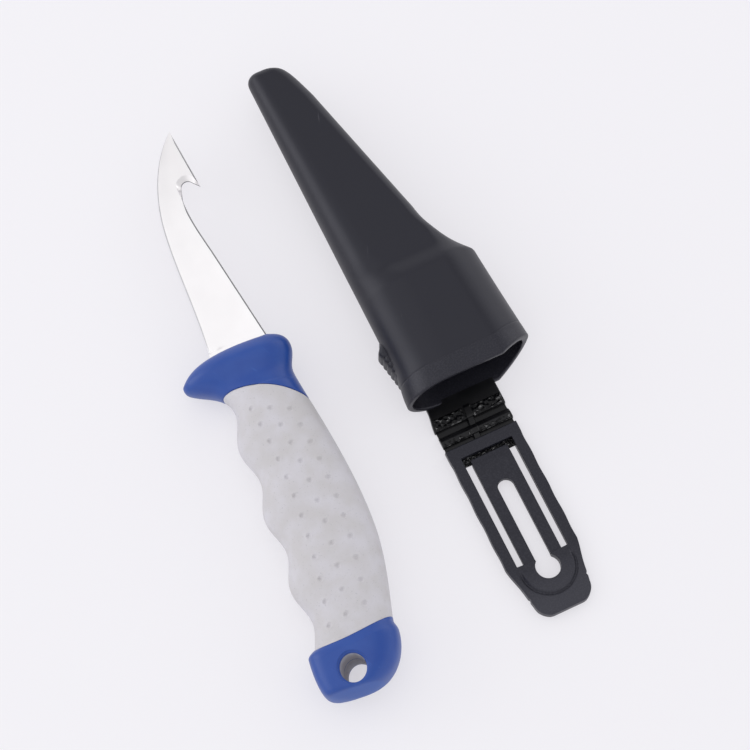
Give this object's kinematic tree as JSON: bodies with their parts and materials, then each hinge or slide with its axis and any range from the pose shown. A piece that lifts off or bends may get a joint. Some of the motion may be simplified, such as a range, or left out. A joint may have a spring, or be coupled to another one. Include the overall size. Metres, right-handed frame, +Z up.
{
  "type": "fishing knife with sheath",
  "caption": "Fishing knife with a gut hook and a contoured two-colour handle, beside its sheath with a hinged belt hanger and spring tongue.",
  "frame": {"origin": "middle of the bounding box, at the table under the knife and the sheath", "axes": "+Y along the sheath from its hanger to its tip, +X from the knife to the sheath, +Z up from the table"},
  "size_m": [0.1104, 0.2078, 0.026],
  "materials": {
    "blade_steel": "satin polished stainless steel",
    "blue_plastic": "satin blue polypropylene",
    "grey_rubber": "matt soft grey rubber",
    "black_plastic": "satin black polypropylene"
  },
  "bodies": {
    "sheath": {"sheath_body": "black_plastic"},
    "link": {"hinge_link": "black_plastic"},
    "hanger": {"hanger_frame": "black_plastic"},
    "tongue": {"belt_tongue": "black_plastic"},
    "knife": {"blade": "blade_steel", "handle_core": "blue_plastic", "grip": "grey_rubber", "lanyard_liner": "grey_rubber"}
  },
  "joints": [
    {"name": "link_hinge", "type": "hinge", "parent": "sheath", "child": "link", "pos_m": [0.02797, -0.03437, 0.0004], "axis": [1, 0, 0], "range_deg": [-45, 45], "stiffness_Nm_per_rad": 0.1},
    {"name": "hanger_hinge", "type": "hinge", "parent": "link", "child": "hanger", "pos_m": [0.02797, -0.03997, 0.0004], "axis": [1, 0, 0], "range_deg": [-45, 45], "stiffness_Nm_per_rad": 0.1},
    {"name": "tongue_flex", "type": "hinge", "parent": "hanger", "child": "tongue", "pos_m": [0.02797, -0.08382, 0.0015], "axis": [1, 0, 0], "range_deg": [0, 10], "stiffness_Nm_per_rad": 0.4},
    {"name": "knife_lift", "type": "slide", "parent": "sheath", "child": "knife", "axis": [0, 0, 1], "range_m": [0, 0.06]}
  ]
}
